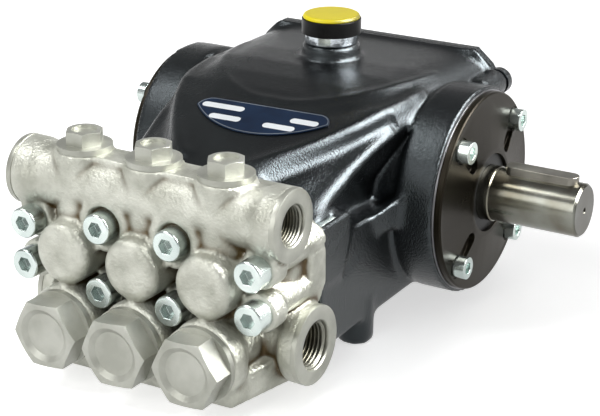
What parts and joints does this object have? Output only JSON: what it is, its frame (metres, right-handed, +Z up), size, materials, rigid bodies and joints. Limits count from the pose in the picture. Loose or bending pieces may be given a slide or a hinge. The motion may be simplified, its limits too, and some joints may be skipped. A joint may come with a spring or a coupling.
{
  "type": "high-pressure plunger pump",
  "caption": "High-pressure plunger pump with a nickel-plated brass head, a black aluminium crankcase and a keyed solid drive shaft",
  "frame": {"origin": "The middle of the four M8 foot screws, on the base plane that the feet stand on.", "axes": "+X runs along the crankshaft to its keyed drive end, +Y runs from the pump head to the rear cover, +Z is up."},
  "size_m": [0.2154, 0.2265, 0.1252],
  "materials": {
    "coated_casting": "satin",
    "nickel_brass": "satin",
    "nickel_plugs": "satin",
    "zinc_screws": "satin",
    "bronzed_cover": "satin",
    "shim_steel": "satin",
    "ground_steel": "polished",
    "key_steel": "satin",
    "seal_rubber": "matte",
    "neck_metal": "polished",
    "black_plastic": "satin",
    "yellow_plastic": "gloss",
    "blue_plate": "gloss",
    "sight_glass": "gloss"
  },
  "bodies": {
    "housing": {"crankcase": "coated_casting", "rear_cover": "coated_casting", "rear_cover_screws": "zinc_screws", "oil_sight_glass": "sight_glass", "oil_drain_plug": "zinc_screws", "shaft_bearing_cover": "bronzed_cover", "shaft_cover_shim_ring": "shim_steel", "shaft_cover_screws": "zinc_screws", "shaft_seal": "seal_rubber", "blind_bearing_cover": "bronzed_cover", "blind_cover_shim_ring": "shim_steel", "blind_cover_screws": "zinc_screws", "pump_head": "nickel_brass", "filler_neck": "neck_metal", "filler_cap_skirt": "black_plastic", "filler_cap_top": "yellow_plastic", "rating_plate": "blue_plate", "outlet_valve_plug_1": "nickel_plugs", "inlet_valve_plug_1": "nickel_plugs", "outlet_valve_plug_2": "nickel_plugs", "inlet_valve_plug_2": "nickel_plugs", "outlet_valve_plug_3": "nickel_plugs", "inlet_valve_plug_3": "nickel_plugs", "head_screw_upper_1": "zinc_screws", "head_screw_upper_2": "zinc_screws", "head_screw_upper_3": "zinc_screws", "head_screw_upper_4": "zinc_screws", "head_screw_lower_1": "zinc_screws", "head_screw_lower_2": "zinc_screws", "head_screw_lower_3": "zinc_screws", "head_screw_lower_4": "zinc_screws"},
    "crankshaft": {"crankshaft": "ground_steel", "shaft_key": "key_steel"}
  },
  "joints": [
    {"name": "shaft_spin", "type": "hinge", "parent": "housing", "child": "crankshaft", "pos_m": [0, 0.022, 0.055], "axis": [1, 0, 0], "continuous": true}
  ]
}
